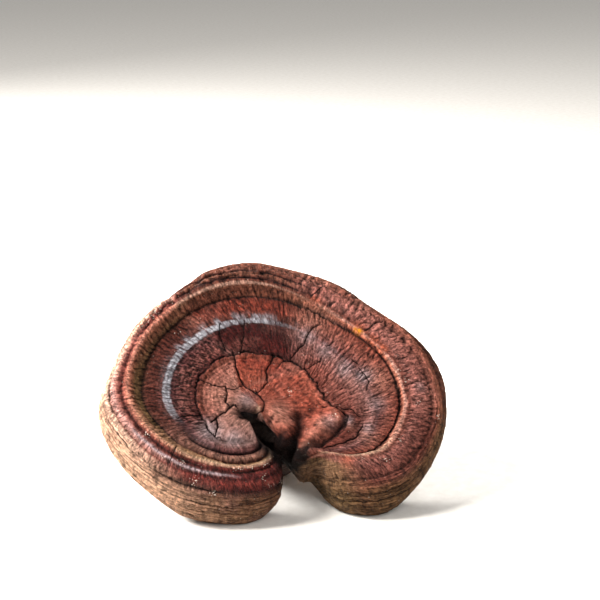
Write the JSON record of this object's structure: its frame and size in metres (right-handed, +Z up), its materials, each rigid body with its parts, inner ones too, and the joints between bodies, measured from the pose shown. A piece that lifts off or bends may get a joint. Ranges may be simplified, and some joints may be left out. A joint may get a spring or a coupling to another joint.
{
  "type": "reishi mushroom",
  "caption": "Dried kidney-shaped bracket mushroom with a ringed woody cap, leaning back on the lobes of its thick rim and on its short stem, cut flat at the foot.",
  "frame": {"origin": "centre of the object's footprint box, on the surface it stands on", "axes": "+X across the two lobes, to the right as seen from the ringed face; +Y away from the viewer, towards the high edge of the leaning cap; +Z up"},
  "size_m": [0.1192, 0.0728, 0.0738],
  "materials": {
    "cap_flesh": "dry red-brown woody crust with dark grooves, a pale bloom and a tan rim",
    "stem_varnish": "near-black brown lacquered bark"
  },
  "bodies": {
    "root": {"cap": "cap_flesh", "stem": "stem_varnish"}
  },
  "joints": []
}
